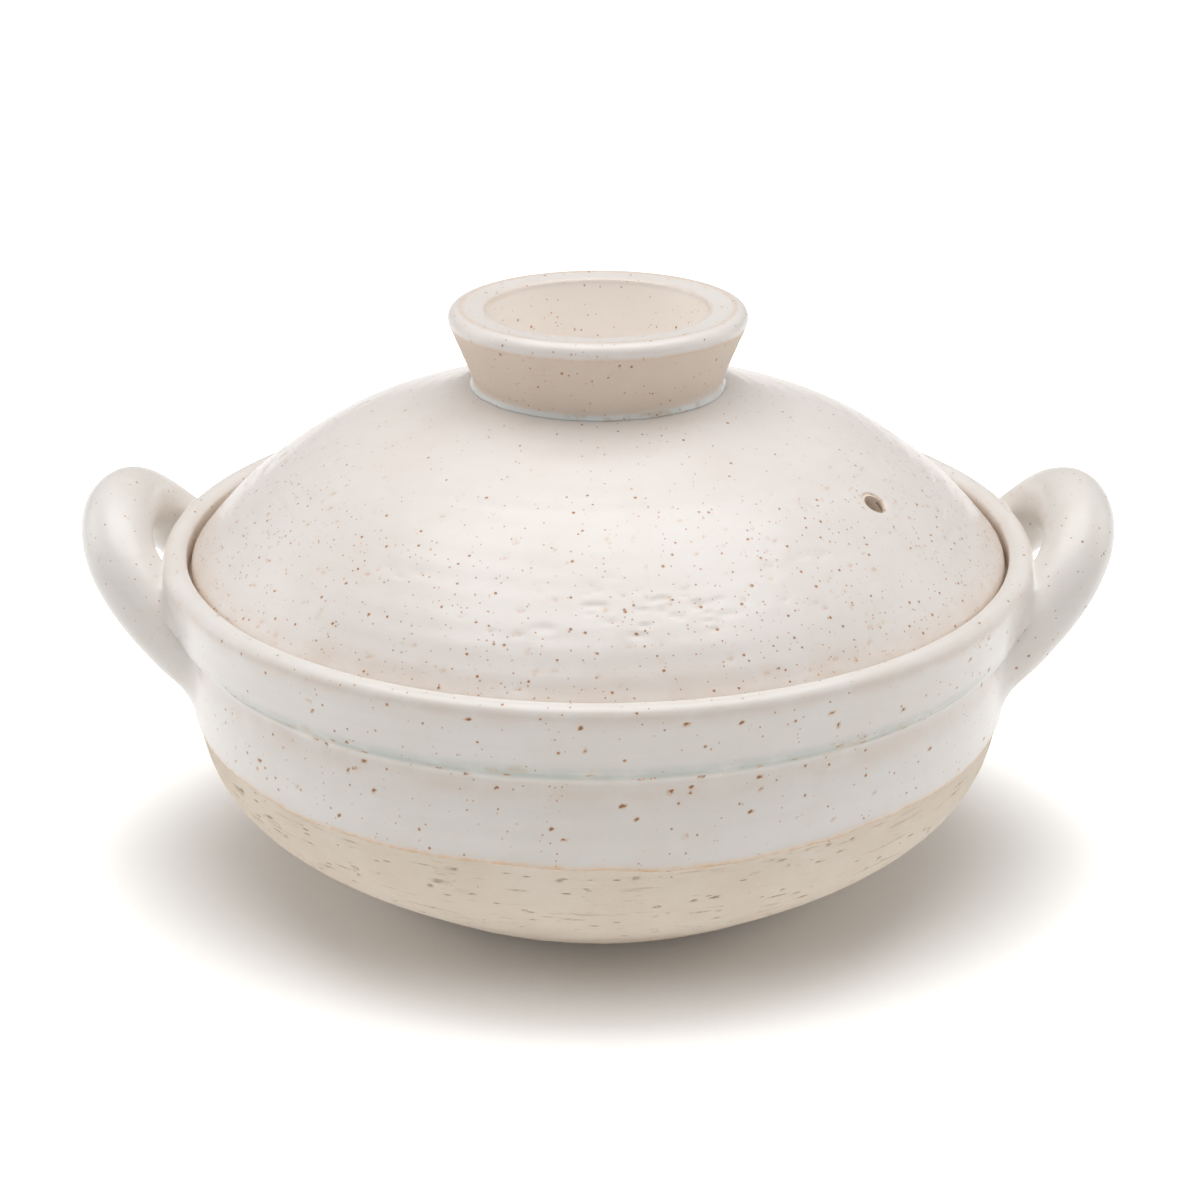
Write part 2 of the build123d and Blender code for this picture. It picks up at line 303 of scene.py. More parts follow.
def grid_faces(rows, columns, close_rows):
    """Four-sided faces of a grid whose columns close on themselves, and whose rows may too. Rows run
    up the outer side, so that the faces point outwards."""
    i = np.arange(rows if close_rows else rows - 1)[:, None]
    j = np.arange(columns)[None, :]
    k, m = (i + 1) % rows, (j + 1) % columns
    return np.stack([i * columns + j, i * columns + m, k * columns + m, k * columns + j], -1).reshape(-1, 4)


def pole_fans(rows, columns, first, last):
    """Three-sided faces that close a grid's first and last row, each around a point of that number."""
    j = np.arange(columns)
    m = (j + 1) % columns
    top = (rows - 1) * columns
    return np.vstack([np.stack([np.full(columns, first), m, j], 1),
                      np.stack([np.full(columns, last), top + j, top + m], 1)])


def surface(name, reach, level, loop=False, poles=None, **attributes):
    """A surface of revolution from two grids in millimetres, distance from the axis and height. Rows
    run along the half section, with the solid on their left, and columns once round the axis. Loop
    joins the last row to the first; poles are the heights on the axis that close the two ends."""
    rows, columns = reach.shape
    angle = 2 * np.pi * np.arange(columns) / columns
    places = np.stack([reach * np.cos(angle), reach * np.sin(angle), level], -1).reshape(-1, 3)
    faces = [grid_faces(rows, columns, loop)]
    values = {key: np.broadcast_to(value, reach.shape).ravel() for key, value in attributes.items()}
    if poles:
        faces.append(pole_fans(rows, columns, len(places), len(places) + 1))
        places = np.vstack([places, [[0, 0, poles[0]], [0, 0, poles[1]]]])
        values = {key: np.r_[value, 0, 0] for key, value in values.items()}
    return mesh_piece(name, places, faces, values)


def outward(line):
    """The unit normals on a line's right, which is the outside of a section drawn with its solid on
    the left."""
    along = np.gradient(line, axis=0)
    along /= np.maximum(np.linalg.norm(along, axis=1), 1e-9)[:, None]
    return np.stack([along[:, 1], -along[:, 0]], 1)


def softened(line, width, spacing=0.15):
    """A line with its corners rounded: each point is the mean of its neighbours, weighted by a bell
    curve of that width. The two ends stay."""
    line = spaced(line, spacing)
    reach = int(3 * width / spacing)
    weights = np.exp(-0.5 * (np.arange(-reach, reach + 1) * spacing / width) ** 2)
    weights /= weights.sum()
    before = 2 * line[0] - line[reach:0:-1]
    after = 2 * line[-1] - line[-2:-reach - 2:-1]
    padded = np.vstack([before, line, after])
    return np.stack([np.convolve(padded[:, i], weights, "valid") for i in (0, 1)], 1)


def stations(line, spacing_at):
    """Distances along a line for a grid's rows, whose spacing follows a function of the distance."""
    length = np.linalg.norm(np.diff(line, axis=0), axis=1).sum()
    fine = np.linspace(0, length, 4000)
    density = 1 / np.asarray([spacing_at(s) for s in fine])
    count = np.r_[0, np.cumsum(0.5 * (density[1:] + density[:-1]) * np.diff(fine))]
    rows = int(round(count[-1])) + 1
    return np.interp(np.linspace(0, count[-1], rows), count, fine)


def follow(line, run):
    """Places and outward normals on a line at distances along it."""
    steps = steps_of(line)
    normals = outward(line)
    place = np.stack([np.interp(run, steps, line[:, i]) for i in (0, 1)], -1)
    normal = np.stack([np.interp(run, steps, normals[:, i]) for i in (0, 1)], -1)
    return place, normal / np.maximum(np.linalg.norm(normal, axis=-1), 1e-9)[..., None]


def run_at(line, place):
    """Distance along a line to its point nearest to a place."""
    steps = steps_of(line)
    return steps[np.argmin(np.linalg.norm(line - np.asarray(place, float), axis=1))]


def gather(value, near, far):
    """1 up to near, 0 from far on, and an S between."""
    return 1 - smooth_step((value - near) / (far - near))


def grid_over(run, columns):
    """Two grids with a row for each distance along a line: the share of a turn, and the distance."""
    turn = np.broadcast_to(np.arange(columns) / columns, (len(run), columns))
    return turn, np.broadcast_to(run[:, None], turn.shape)


def raised(place, normal, height):
    """Grids of distance from the axis and level: a line's places moved along its normals by a height."""
    return place[:, :1] + normal[:, :1] * height, place[:, 1:] + normal[:, 1:] * height


def rounded_edge(since):
    """A coat's thickness at a distance from its edge, as a share of the whole: a quarter ellipse."""
    return np.sqrt(np.clip(1 - np.clip(1 - since / coat_edge, 0, 1) ** 2, 0, 1))


# Outlines with a coat of glaze, or bare with a coat of none


def at_shares(line, shift, shares):
    """Points beside a line, a shift to its left and square to it, at shares of its length."""
    steps = steps_of(line)
    moved = beside(line, shift)
    return [tuple(np.interp(share * steps[-1], steps, moved[:, i]) for i in (0, 1)) for share in shares]


def bowl_outside(skin):
    """The bowl from its foot's edge up the belly, groove and collar, over the lip, down to the ledge."""
    side = beside(belly, -skin)
    side = side[side[:, 1] < groove_height - groove_rounding_drop]
    collar_top = (rim_radius + skin, rim_height)
    corners = [side[-1], (belly_radius + skin, groove_height),
               (collar_foot_radius + skin, collar_foot_height), collar_top]
    lip = arc_through(collar_top, (rim_radius - lip_crown_inset, rim_height + lip_rise + skin),
                      (gallery_radius - skin, rim_height + lip_inner_rise))
    foot = [(gallery_radius - skin, ledge_height)]
    return np.vstack([side[:-1], rounded(corners, groove_rounding), lip[1:], foot])


def bowl_inside(skin):
    """The bowl's inner wall from the ledge's edge down to the middle of the floor."""
    wall = at_shares(belly, bowl_wall + skin, wall_shares)
    line = through([(0, bowl_floor + skin)] + wall, start=(1, 0), end=(0, 1))
    return np.vstack([[(ledge_inner_radius - skin, ledge_height - ledge_edge)], line[::-1]])


def lid_outside(skin):
    """The lid from the foot of its edge up and over the dome to the middle of the crown."""
    over = beside(dome, skin)
    edge = over[over[:, 0] < lid_radius - lid_edge_rounding_reach]
    corners = [edge[-1], over[-1], (lid_radius + skin, lid_edge_height), (lid_radius + skin, ledge_height)]
    return np.vstack([edge[:-1], rounded(corners, lid_edge_rounding)])[::-1]


def knob_outside(skin):
    """The ring knob from the dome up its neck, over the band and the ridge and down the hollow."""
    foot = crown_height - knob_root_drop
    band = (knob_band_radius + skin, crown_height + knob_band_rise)
    ridge = (knob_ridge_radius, crown_height + knob_ridge_rise + skin)
    mouth = (knob_mouth_radius, crown_height + knob_mouth_rise + skin)
    crest = arc_through(band, (knob_radius + skin, crown_height + knob_shoulder_rise), ridge)
    return np.vstack([[(knob_root_radius + skin, foot)], crest, [mouth],
                      [(knob_hollow_radius - skin, crown_height), (knob_hollow_radius - skin, foot)]])


# Bowl, bare clay

foot_line = [(0, foot_recess_depth), (foot_recess_radius - foot_recess_depth, foot_recess_depth),
             (foot_recess_radius, 0), (foot_radius, 0)]
ledge_line = [(ledge_inner_radius, ledge_height)]
clay_line = softened(np.vstack([foot_line, bowl_outside(0)[1:], ledge_line, bowl_inside(0)]), 0.35)
bare_start = run_at(clay_line, (foot_radius, 0))
bare_end = run_at(clay_line, (belly_radius, glaze_line))
lip_end = run_at(clay_line, (ledge_inner_radius, ledge_height - ledge_edge))


def clay_spacing(run):
    """Fine rows where the clay is bare, coarse ones under the glaze."""
    if bare_start + 4 < run < bare_end + 2:
        return 0.62
    return 1.4 if bare_end < run < lip_end else 4.5


def make_bowl_clay():
    """The thrown bowl. Its bare zone carries finger rings, long shallow drag marks where grog was
    pulled along, and grog holes."""
    run = stations(clay_line, clay_spacing)[1:-1]
    columns = 384
    turn, runs = grid_over(run, columns)
    place, normal = follow(clay_line, run)
    half = 0.5 * (bare_end - bare_start)
    bare = gather(np.abs(runs - (bare_start + bare_end) / 2), half - 3, half + 3)
    rough = thrown(turn, runs, run[-1], 11, pitch=5.0, ring=0.07, wave=0.10, skin=0.05)
    drags, drag_marks = dents(turn, runs, 105.0, 420, 21, (bare_start + 8, bare_end + 1),
                              (2, 8), (0.5, 0.9), (0.16, 0.40))
    holes, marks = dents(turn, runs, 105.0, 300, 22, (bare_start + 6, bare_end + 1),
                         (1.2, 2.4), (0.8, 1.4), (0.2, 0.5))
    marks = np.maximum(marks, 0.8 * drag_marks)
    height = bare * (rough - 0.25 - drags - holes)
    reach, level = raised(place, normal, height)
    return surface("bowl_clay", reach, np.maximum(level, 0), poles=(foot_recess_depth, bowl_floor),
                   mark=marks * bare)


# Bowl, outer glaze

glaze_skin = softened(bowl_outside(coat), 0.25)
glaze_start = run_at(glaze_skin, glaze_skin[np.argmax(glaze_skin[:, 1] > glaze_line)])
gallery_end = run_at(glaze_skin, (gallery_radius - coat, ledge_height + bare_strip))
groove_run = run_at(glaze_skin, (0.5 * (belly_radius + collar_foot_radius) + coat,
                                 0.5 * (groove_height + collar_foot_height)))
collar_run = run_at(glaze_skin, (rim_radius + coat, rim_height))
# Where the waves of the glaze's lower edge die out
wave_end = 14
# How far the glaze sinks below the coat's own skin: on average, less in the groove, and at most
glaze_sink = 0.28
groove_fill = 0.12
glaze_deepest = 0.46
# Around a handle's foot the glaze is smooth up to the first distance, and uneven from the second
foot_smooth = (23, 30)


def glaze_spacing(run):
    """Fine rows along the glaze's edge, the groove and the lip."""
    if run < glaze_start + 3:
        return 0.32
    if abs(run - groove_run) < 6 or run > collar_run - 2:
        return 0.62
    return 1.0


def make_bowl_glaze():
    """The outer coat, from its wavy lower edge over the lip and down the gallery. Its edge is a
    rounded bead, it is thicker in the groove, and it backs onto the clay."""
    columns = 780
    run = stations(glaze_skin, glaze_spacing)
    run = np.r_[glaze_start, run[(run > glaze_start + 0.05) & (run < gallery_end)], gallery_end]
    turn, since = grid_over(run - glaze_start, columns)
    until = np.broadcast_to((gallery_end - run)[:, None], turn.shape)
    wave = 0.8 * lattice(turn, 0 * turn, 14, 1, 31) + 0.35 * lattice(turn, 0 * turn, 61, 1, 32)
    wave += 0.15 * lattice(turn, 0 * turn, 190, 1, 33)
    runs = since + glaze_start + wave * gather(since, 0, wave_end)
    place, normal = follow(glaze_skin, runs)
    bead = rounded_edge(since) * rounded_edge(until)
    swell = 0.16 * np.exp(-((since - 1.6) / 1.3) ** 2)
    rough = thrown(turn, runs, run[-1], 41, pitch=7.0, ring=0.07, wave=0.10, skin=0.035)
    fill = np.exp(-((runs - groove_run) / 2.8) ** 2)
    dips, marks = dents(turn, runs, 126.0, 90, 42, (glaze_start + 4, collar_run),
                        (0.9, 1.5), (0.8, 1.1), (0.10, 0.26))
    pits, deep_marks = dents(turn, runs, 128.0, 80, 43, (groove_run - 3.5, groove_run + 2.5),
                             (1.0, 1.8), (0.9, 1.2), (0.25, 0.42))
    foot_run = run_at(glaze_skin, (belly_radius + coat, handle_root_height))
    side_turn = np.abs((turn * 2 + 0.5) % 1 - 0.5) / 2
    foot_turn = math.asin(handle_half_spread / belly_radius) / (2 * np.pi)
    to_foot = np.hypot((side_turn - foot_turn) * 2 * np.pi * belly_radius, runs - foot_run)
    wild = 1 - gather(to_foot, *foot_smooth)
    height = coat * (bead - 1) + swell * bead + bead * (
        wild * (rough - dips - pits) - glaze_sink + groove_fill * fill)
    height = np.maximum(height, coat * (bead - 1) - glaze_deepest * bead)
    top = np.linalg.norm(place[..., :1] - (rim_radius + coat), axis=-1)
    height = np.where(top < 0.6, np.minimum(height, 0), height)
    reach, level = place[..., 0] + normal[..., 0] * height, place[..., 1] + normal[..., 1] * height
    back = run[::-1][np.r_[0:len(run):4, len(run) - 1]]
    back_runs = back[:, None] + wave[:1] * gather(back[:, None] - glaze_start, 0, wave_end)
    back_place, back_normal = follow(glaze_skin, back_runs)
    back_reach = back_place[..., 0] - back_normal[..., 0] * (coat + overlap)
    back_level = back_place[..., 1] - back_normal[..., 1] * (coat + overlap)
    reach, level = np.vstack([reach, back_reach]), np.vstack([level, back_level])
    flat = np.zeros_like(back_reach)
    thin = 1.1 * np.exp(-(since / 1.4) ** 2) + 0.7 * np.exp(-(until / 4.5) ** 2)
    # A warm colour on the lip's outer roll, and 6.5 mm below the groove a band of painted shade under the
    # collar's overhang
    lip = np.exp(-((runs - collar_run - 1.0) / 2.2) ** 2) + np.exp(-((runs - groove_run + 6.5) / 3.5) ** 2)
    # Grey-blue glaze pooled in the groove; the bowl's pool colour is also darkened as painted shade of the
    # groove
    pool = np.exp(-((runs - groove_run - 0.9) / 3.1) ** 2)
    return surface("bowl_glaze", reach, level, loop=True,
                   pool=np.vstack([pool, flat]), thin=np.vstack([thin, flat]), tint=np.vstack([lip, flat]),
                   mark=np.vstack([np.maximum(marks, deep_marks) * wild, flat]))


# Bowl, inner glaze

inner_skin = softened(bowl_inside(coat), 0.3)


def make_inner_glaze():
    """The coat inside the bowl, from below the ledge to the middle of the floor."""
    columns = 480
    run = stations(inner_skin, lambda s: 1.1 if s < 6 else 2.0)[:-1]
    turn, runs = grid_over(run, columns)
    place, normal = follow(inner_skin, run)
    rough = thrown(turn, runs, inner_skin[-1, 0] + run[-1], 51, pitch=7.5, ring=0.09, wave=0.08, skin=0.03)
    still = gather(place[:, :1], 4.0, 1.0)
    height = (rough - 0.1) * (1 - still) * np.clip(runs / 3, 0, 1)
    reach, level = raised(place, normal, height)
    back_place, back_normal = follow(inner_skin, run[::-3])
    back_place = back_place - back_normal * (coat + overlap)
    back = [np.repeat(back_place[:, i:i + 1], columns, 1) for i in (0, 1)]
    reach, level = np.vstack([back[0], reach]), np.vstack([back[1], level])
    thin = np.vstack([np.zeros_like(back[0]), np.exp(-(runs / 1.5) ** 2)])
    poles = (bowl_floor - overlap, bowl_floor + coat)
    return surface("bowl_inner_coat", reach, level, poles=poles, thin=thin)


# Handles

handle_steps = 120
handle_columns = 150
# How far a bar's rings reach out onto the bowl, how many there are, and the height they stay under
foot_blend = 6.5
foot_rings = 12
lip_foot = 105.5
# How deep the rings after them lie under the bowl's skin, and how much farther out each is than the last
foot_sinks = (0.29, 0.44, 0.65, 0.9)
foot_spread = 0.12
# How far the bare bar lies inside its own size, and how far every bar does on average
bare_inset = 0.1
bar_sink = 0.15


bowl_side = glaze_skin[:np.argmax(glaze_skin[:, 1]) + 1]


def bowl_reach(height):
    """The glazed bowl's distance from the axis at a height, up to the lip, and none above it."""
    return np.interp(height, bowl_side[:, 1], bowl_side[:, 0], right=0.0)


def outside_bowl(points):
    """How far points lie outside the glazed bowl, across, negative inside it."""
    return np.hypot(points[..., 0], points[..., 1]) - bowl_reach(points[..., 2])


def onto_bowl(points, sink=0.0):
    """Points moved straight out or in, away from the axis, to lie on the glazed bowl."""
    reach = np.hypot(points[..., 0], points[..., 1])
    share = (bowl_reach(points[..., 2]) - sink) / reach
    return np.stack([points[..., 0] * share, points[..., 1] * share, points[..., 2]], -1)


def arch_at(side, share):
    """Centre and direction of a handle's bar at a share of its arch, from its foot at +Y: half an
    ellipse's sweep along Y, and across it the quadratic curve by the shoulder to the crown. Past its
    two ends the bar runs straight on."""
    share = np.asarray(share, float)
    on_arch = np.clip(share, 0, 1)
    angle = math.pi * on_arch[..., None]
    rise = np.sin(angle)
    bend = 2 * rise * (1 - rise) * handle_shoulder + rise**2 * handle_crown
    rate = 2 * np.cos(angle) * ((1 - 2 * rise) * handle_shoulder + rise * handle_crown)
    centre = np.concatenate([side * (handle_root_reach + bend[..., :1]), handle_half_spread * np.cos(angle),
                             handle_root_height + bend[..., 1:]], -1)
    along = np.concatenate([side * rate[..., :1], -handle_half_spread * rise, rate[..., 1:]], -1)
    along /= np.linalg.norm(along, axis=-1)[..., None]
    return centre + (share - on_arch)[..., None] * foot_rate * along, along


# Millimetres along the arch at its feet for a whole share
foot_rate = 2 * math.pi * float(np.linalg.norm(handle_shoulder))


def bar_frame(side, along):
    """Two directions square to the bar and to each other, out of the arch's opening and across it."""
    square = np.cross([0, 1, 0], [side * handle_crown[0], 0, handle_crown[1]])
    out = square - (along @ square)[..., None] * along
    out /= np.linalg.norm(out, axis=-1)[..., None]
    return out, np.cross(along, out)


def bar_radius(share, skin):
    """Half thickness of the bar at a share of its arch, with a coat of that thickness."""
    share = np.clip(share, 0, 1)
    bar = handle_limb_radius + (handle_crown_radius - handle_limb_radius) * np.sin(np.pi * share) ** 2
    flare = np.clip(1 - np.minimum(share, 1 - share) / handle_flare_share, 0, None) ** 2
    return bar + (handle_foot_radius - handle_limb_radius) * flare + skin


def bar_landing(half, shares, tube):
    """The share of the arch and the place where each line along half a bar goes into the bowl, straight
    between its last station outside and its first inside."""
    column = np.arange(handle_columns)
    clear = outside_bowl(tube)
    run = np.argmax(clear[half] < 0, axis=0)
    first, last = half[run - 1], half[run]
    part = clear[first, column] / (clear[first, column] - clear[last, column])
    share = shares[0] + (first + part * (last - first)) * (shares[1] - shares[0])
    return share, tube[first, column] * (1 - part)[:, None] + tube[last, column] * part[:, None]


def make_handle(name, side, seed, skin):
    """One handle, bare or coated: a round bar along its arch. Towards each foot the bar turns into
    rings of a quadratic curve, from the bar to the bowl's skin around it, tangent to both, as the clay
    was smoothed down, and the last rings sink into the skin. The feet are closed inside the wall."""
    around = 2 * np.pi * np.arange(handle_columns) / handle_columns
    past_end = handle_root_depth / foot_rate
    shares = np.linspace(-past_end, 1 + past_end, 900)
    centre, along = arch_at(side, shares)
    out, across = bar_frame(side, along)
    radius = bar_radius(shares, skin)
    ring_out, ring_across = np.cos(around)[None, :, None], np.sin(around)[None, :, None]
    tube = centre[:, None] + radius[:, None, None] * (ring_out * out[:, None] + ring_across * across[:, None])
    middle = len(shares) // 2
    under = coat - skin
    turn = np.broadcast_to(around / (2 * np.pi), (handle_steps, handle_columns))
    ends = []
    for half in (np.arange(middle, -1, -1), np.arange(middle, len(shares))):
        end_share, hit = bar_landing(half, shares, tube)
        away = hit - hit.mean(0)
        away /= np.linalg.norm(away, axis=1)[:, None]
        room = (lip_foot - hit[:, 2]) / np.maximum(away[:, 2], 0.05)
        blend = np.where(away[:, 2] > 0, np.clip(room, 0.5, foot_blend), foot_blend)
        ends.append((end_share, onto_bowl(hit, under), away, blend))
    first, last = ends[0][0] + ends[0][3] / foot_rate, ends[1][0] - ends[1][3] / foot_rate
    t = smooth_station(np.linspace(0, 1, handle_steps))[:, None]
    grid_share = first + (last - first) * t
    grid_centre, grid_along = arch_at(side, grid_share)
    out, across = bar_frame(side, grid_along)
    steps = t + 0 * turn
    wobble = 0.10 * lattice(turn, steps, 5, 9, seed) + 0.05 * lattice(turn, steps, 11, 24, seed + 1)
    thickness = bar_radius(grid_share, skin) + wobble - bar_sink
    bar = grid_centre + thickness[..., None] * (ring_out * out + ring_across * across)
    rings = []
    for (_, hit, away, blend), edge in zip(ends, (bar[0], bar[-1])):
        landing = onto_bowl(hit + away * blend[:, None], under + 0.2)
        t = np.linspace(0, 1, foot_rings + 1)[1:, None, None]
        curve = (1 - t) ** 2 * edge + 2 * t * (1 - t) * hit + t**2 * landing
        sunk = [onto_bowl(hit + away * (blend * (1 + foot_spread * step))[:, None], under + depth)[None]
                for step, depth in enumerate(foot_sinks, 1)]
        rings.append(np.concatenate([curve] + sunk))
    places = np.concatenate([rings[0][::-1], bar, rings[1]])
    rows = len(places)
    caps = [ring[-1].mean(0) * [0.96, 1, 1] for ring in rings]
    faces = grid_faces(rows, handle_columns, False)
    flat = places.reshape(-1, 3)
    fans = pole_fans(rows, handle_columns, len(flat), len(flat) + 1)
    flat = np.vstack([flat, caps])
    if signed_volume(flat, faces, fans) < 0:
        faces, fans = faces[:, ::-1], fans[:, ::-1]
    return mesh_piece(name, flat, [faces, fans])


def smooth_station(t):
    """Even steps from 0 to 1 drawn a little closer together at both ends."""
    return t - 0.10 * np.sin(2 * np.pi * t)


def signed_volume(places, quads, triangles):
    """A closed mesh's volume, positive where its faces point outwards."""
    total = 0.0
    for group in (quads[:, [0, 1, 2]], quads[:, [0, 2, 3]], triangles):
        a, b, c = (places[group[:, i]] for i in range(3))
        total += (a * np.cross(b, c)).sum() / 6
    return total


# Lid, outer glaze over the dome

lid_skin = softened(lid_outside(coat), 0.4)
lid_foot = run_at(lid_skin, (lid_radius + coat, ledge_height + bare_strip))
lid_edge_run = run_at(lid_skin, (lid_radius + coat, lid_edge_height))
knob_foot_run = run_at(lid_skin, (knob_root_radius + 3, crown_height - 2))
lid_length = np.linalg.norm(np.diff(lid_skin, axis=0), axis=1).sum()
hole_clearance = 6.4
hole_rings = 12
# How many of the hole's rings, its innermost ones, show orange where the glaze ran thin
thin_rings = 6
# Bands of small dents, long dents and a group in front, in millimetres up the dome from its edge
small_dent_band = lid_edge_run + np.array([4, 62])
long_dent_band = lid_edge_run + np.array([14, 62])
front_dent_band = lid_edge_run + np.array([20, 34])
front_dent_turn = (0.745, 0.80)
# How far the glaze sinks below the coat's own skin on average, and at most
dome_sink = 0.20
dome_deepest = 0.52


def lid_spacing(run):
    """Fine rows at the lid's edge and in the dented band, coarse ones inside the knob."""
    if run < lid_edge_run + 5:
        return 0.9
    if lid_edge_run + 18 < run < lid_edge_run + 37:
        return 0.72
    return 1.35 if run < knob_foot_run + 2 else 2.4


hole_heading = np.array([math.sin(hole_lean) * math.cos(hole_turn), math.sin(hole_lean) * math.sin(hole_turn),
                         math.cos(hole_lean)])
hole_side = np.array([-math.sin(hole_turn), math.cos(hole_turn), 0])
hole_up = np.cross(hole_heading, hole_side)


def lid_level(reach):
    """The glazed dome's height at a distance from the axis."""
    over = lid_skin[run_over:][::-1]
    return np.interp(reach, over[:, 0], over[:, 1])


run_over = int(np.argmax(lid_skin[:, 0] < lid_radius - 2))
hole_centre = np.array([hole_reach * math.cos(hole_turn), hole_reach * math.sin(hole_turn), 0.0])
hole_centre[2] = lid_level(hole_reach)


def on_dome(flat_side, flat_up):
    """Points on the glazed dome, straight over or under points of the plane square to the steam hole."""
    base = hole_centre + flat_side[..., None] * hole_side + flat_up[..., None] * hole_up
    depth = np.zeros(base.shape[:-1])
    for _ in range(12):
        point = base + depth[..., None] * hole_heading
        gap = lid_level(np.hypot(point[..., 0], point[..., 1])) - point[..., 2]
        depth = depth + gap * hole_heading[2]
    return base + depth[..., None] * hole_heading


def make_dome_glaze():
    """The coat over the dome, thrown rings and dents and all. Around the steam hole the grid is cut
    away and rings lead from the dome over a rounded edge into the hole; the coat backs onto the clay."""
    columns = 640
    run = stations(lid_skin, lid_spacing)
    run = np.r_[lid_foot, run[(run > lid_foot + 0.05) & (run < lid_length - 0.5)]]
    turn, runs = grid_over(run, columns)
    place, normal = follow(lid_skin, run)
    since = runs - lid_foot
    bead = rounded_edge(since)
    relief, mark = dome_relief(turn, runs, place)
    reach, level = raised(place, normal, relief * bead + coat * (bead - 1))
    rows = len(run)
    hole_rows = (place[:, 0] > hole_reach - 12) & (place[:, 0] < hole_reach + 12) & (run > lid_edge_run)
    kept = np.unique(np.r_[0, np.arange(0, rows, 8), np.flatnonzero(hole_rows), rows - 1])[::-1]
    back_place = place[kept] - normal[kept] * (coat + overlap)
    back_reach = np.repeat(np.maximum(back_place[:, :1], 0.2), columns, 1)
    back_level = np.repeat(back_place[:, 1:], columns, 1)
    ring = np.exp(-(since / 1.5) ** 2) + 0.4 * np.exp(-((runs - lid_edge_run) / 1.1) ** 2)
    pool = 0.5 * np.exp(-((runs - knob_foot_run) / 1.6) ** 2)
    flat = np.zeros_like(back_reach)
    tint = np.exp(-((runs - lid_edge_run - 1) / 7) ** 2)
    lower = gather(runs, lid_edge_run + 20, lid_edge_run + 75)
    attributes = {key: np.vstack([flat, value]) for key, value in
                  (("thin", ring), ("pool", pool), ("lower", lower), ("tint", tint), ("mark", mark))}
    all_reach, all_level = np.vstack([back_reach, reach]), np.vstack([back_level, level])
    angle = 2 * np.pi * np.arange(columns) / columns
    places = np.stack([all_reach * np.cos(angle), all_reach * np.sin(angle), all_level], -1).reshape(-1, 3)
    faces, rings = open_hole(places, grid_faces(len(all_reach), columns, False))
    first, last = len(places), len(places) + rings.shape[0] * rings.shape[1]
    values = {key: np.r_[value.ravel(), np.zeros(last - first + 2)] for key, value in attributes.items()}
    values["thin"][last - thin_rings * rings.shape[1]:last] = 0.55
    values["lower"][first:] = 0.8
    poles = [[0, 0, back_level[0, 0]], [0, 0, level[-1, 0]]]
    return mesh_piece("dome_glaze", np.vstack([places, rings.reshape(-1, 3), poles]),
                      faces + [pole_fans(len(all_reach), columns, last, last + 1)], values)


def dome_relief(turn, runs, place):
    """Height of the dome's glaze over its coat in millimetres, finger rings less scattered dents, and
    a value that says where the dents are. It is still at the crown, the edge and the steam hole."""
    rough = thrown(turn, runs, lid_length, 61, pitch=7.5, ring=0.075, wave=0.10, skin=0.035)
    dips, marks = dents(turn, runs, 95.0, 420, 62, small_dent_band, (1.0, 1.9), (1.0, 1.5), (0.10, 0.28))
    long_dips, _ = dents(turn, runs, 85.0, 90, 63, long_dent_band, (2.5, 7.0), (1.2, 2.2), (0.14, 0.36))
    group, group_marks = dents(turn, runs, 105.0, 34, 64, front_dent_band, (1.2, 3.4), (0.8, 1.2),
                               (0.30, 0.46), front_dent_turn)
    angle = 2 * np.pi * turn
    points = np.stack([place[:, :1] * np.cos(angle), place[:, :1] * np.sin(angle),
                       place[:, 1:] + 0 * angle], -1)
    offset = points - hole_centre
    away = np.hypot(offset @ hole_side, offset @ hole_up)
    crown_still = np.clip((place[:, :1] - 8) / 12, 0, 1)
    edge_still = smooth_step((runs - lid_edge_run) / 5)
    hole_still = smooth_step((away - hole_clearance) / 4)
    sunk = np.maximum(rough * edge_still - dome_sink - dips - np.maximum(long_dips, group), -dome_deepest)
    return sunk * crown_still * hole_still, np.maximum(0.3 * marks, 0.14 * group_marks)


def open_hole(places, faces):
    """A coat's faces with the steam hole cut through its front and its back, and the rings of points
    that line the hole, whose faces lead from the front's cut edge to the back's."""
    middle = places[faces].mean(1) - hole_centre
    cut = (np.hypot(middle @ hole_side, middle @ hole_up) < hole_clearance) & (middle @ hole_heading > -9)
    back_loop, front_loop = edge_loops(faces[cut], places)
    front = places[front_loop] - hole_centre
    rings = hole_edge(front @ hole_side, front @ hole_up)
    numbers = len(places) + np.arange(rings.shape[0] * rings.shape[1]).reshape(rings.shape[:2])
    loops = [front_loop, *numbers, back_loop]
    return [faces[~cut]] + [strip_faces(outer, inner) for outer, inner in zip(loops, loops[1:])], rings


def hole_edge(side, up):
    """Rings of points from the dome's cut edge into the steam hole. Each is drawn in towards the
    hole's axis on the dome, and near it drops along the axis by a quarter ellipse."""
    far = np.hypot(side, up)
    rings = []
    for t in np.linspace(0, 1, hole_rings + 1)[1:]:
        distance = far + (hole_radius - overlap - far) * (1 - (1 - t) ** 1.5)
        inward = np.clip((hole_radius + 1.25 - distance) / 1.3, 0, 1)
        drop = 1.15 * (1 - np.sqrt(1 - inward**2))
        rings.append(on_dome(distance * (side / far), distance * (up / far)) - drop[:, None] * hole_heading)
    return np.array(rings + [rings[-1] - 0.9 * hole_heading])


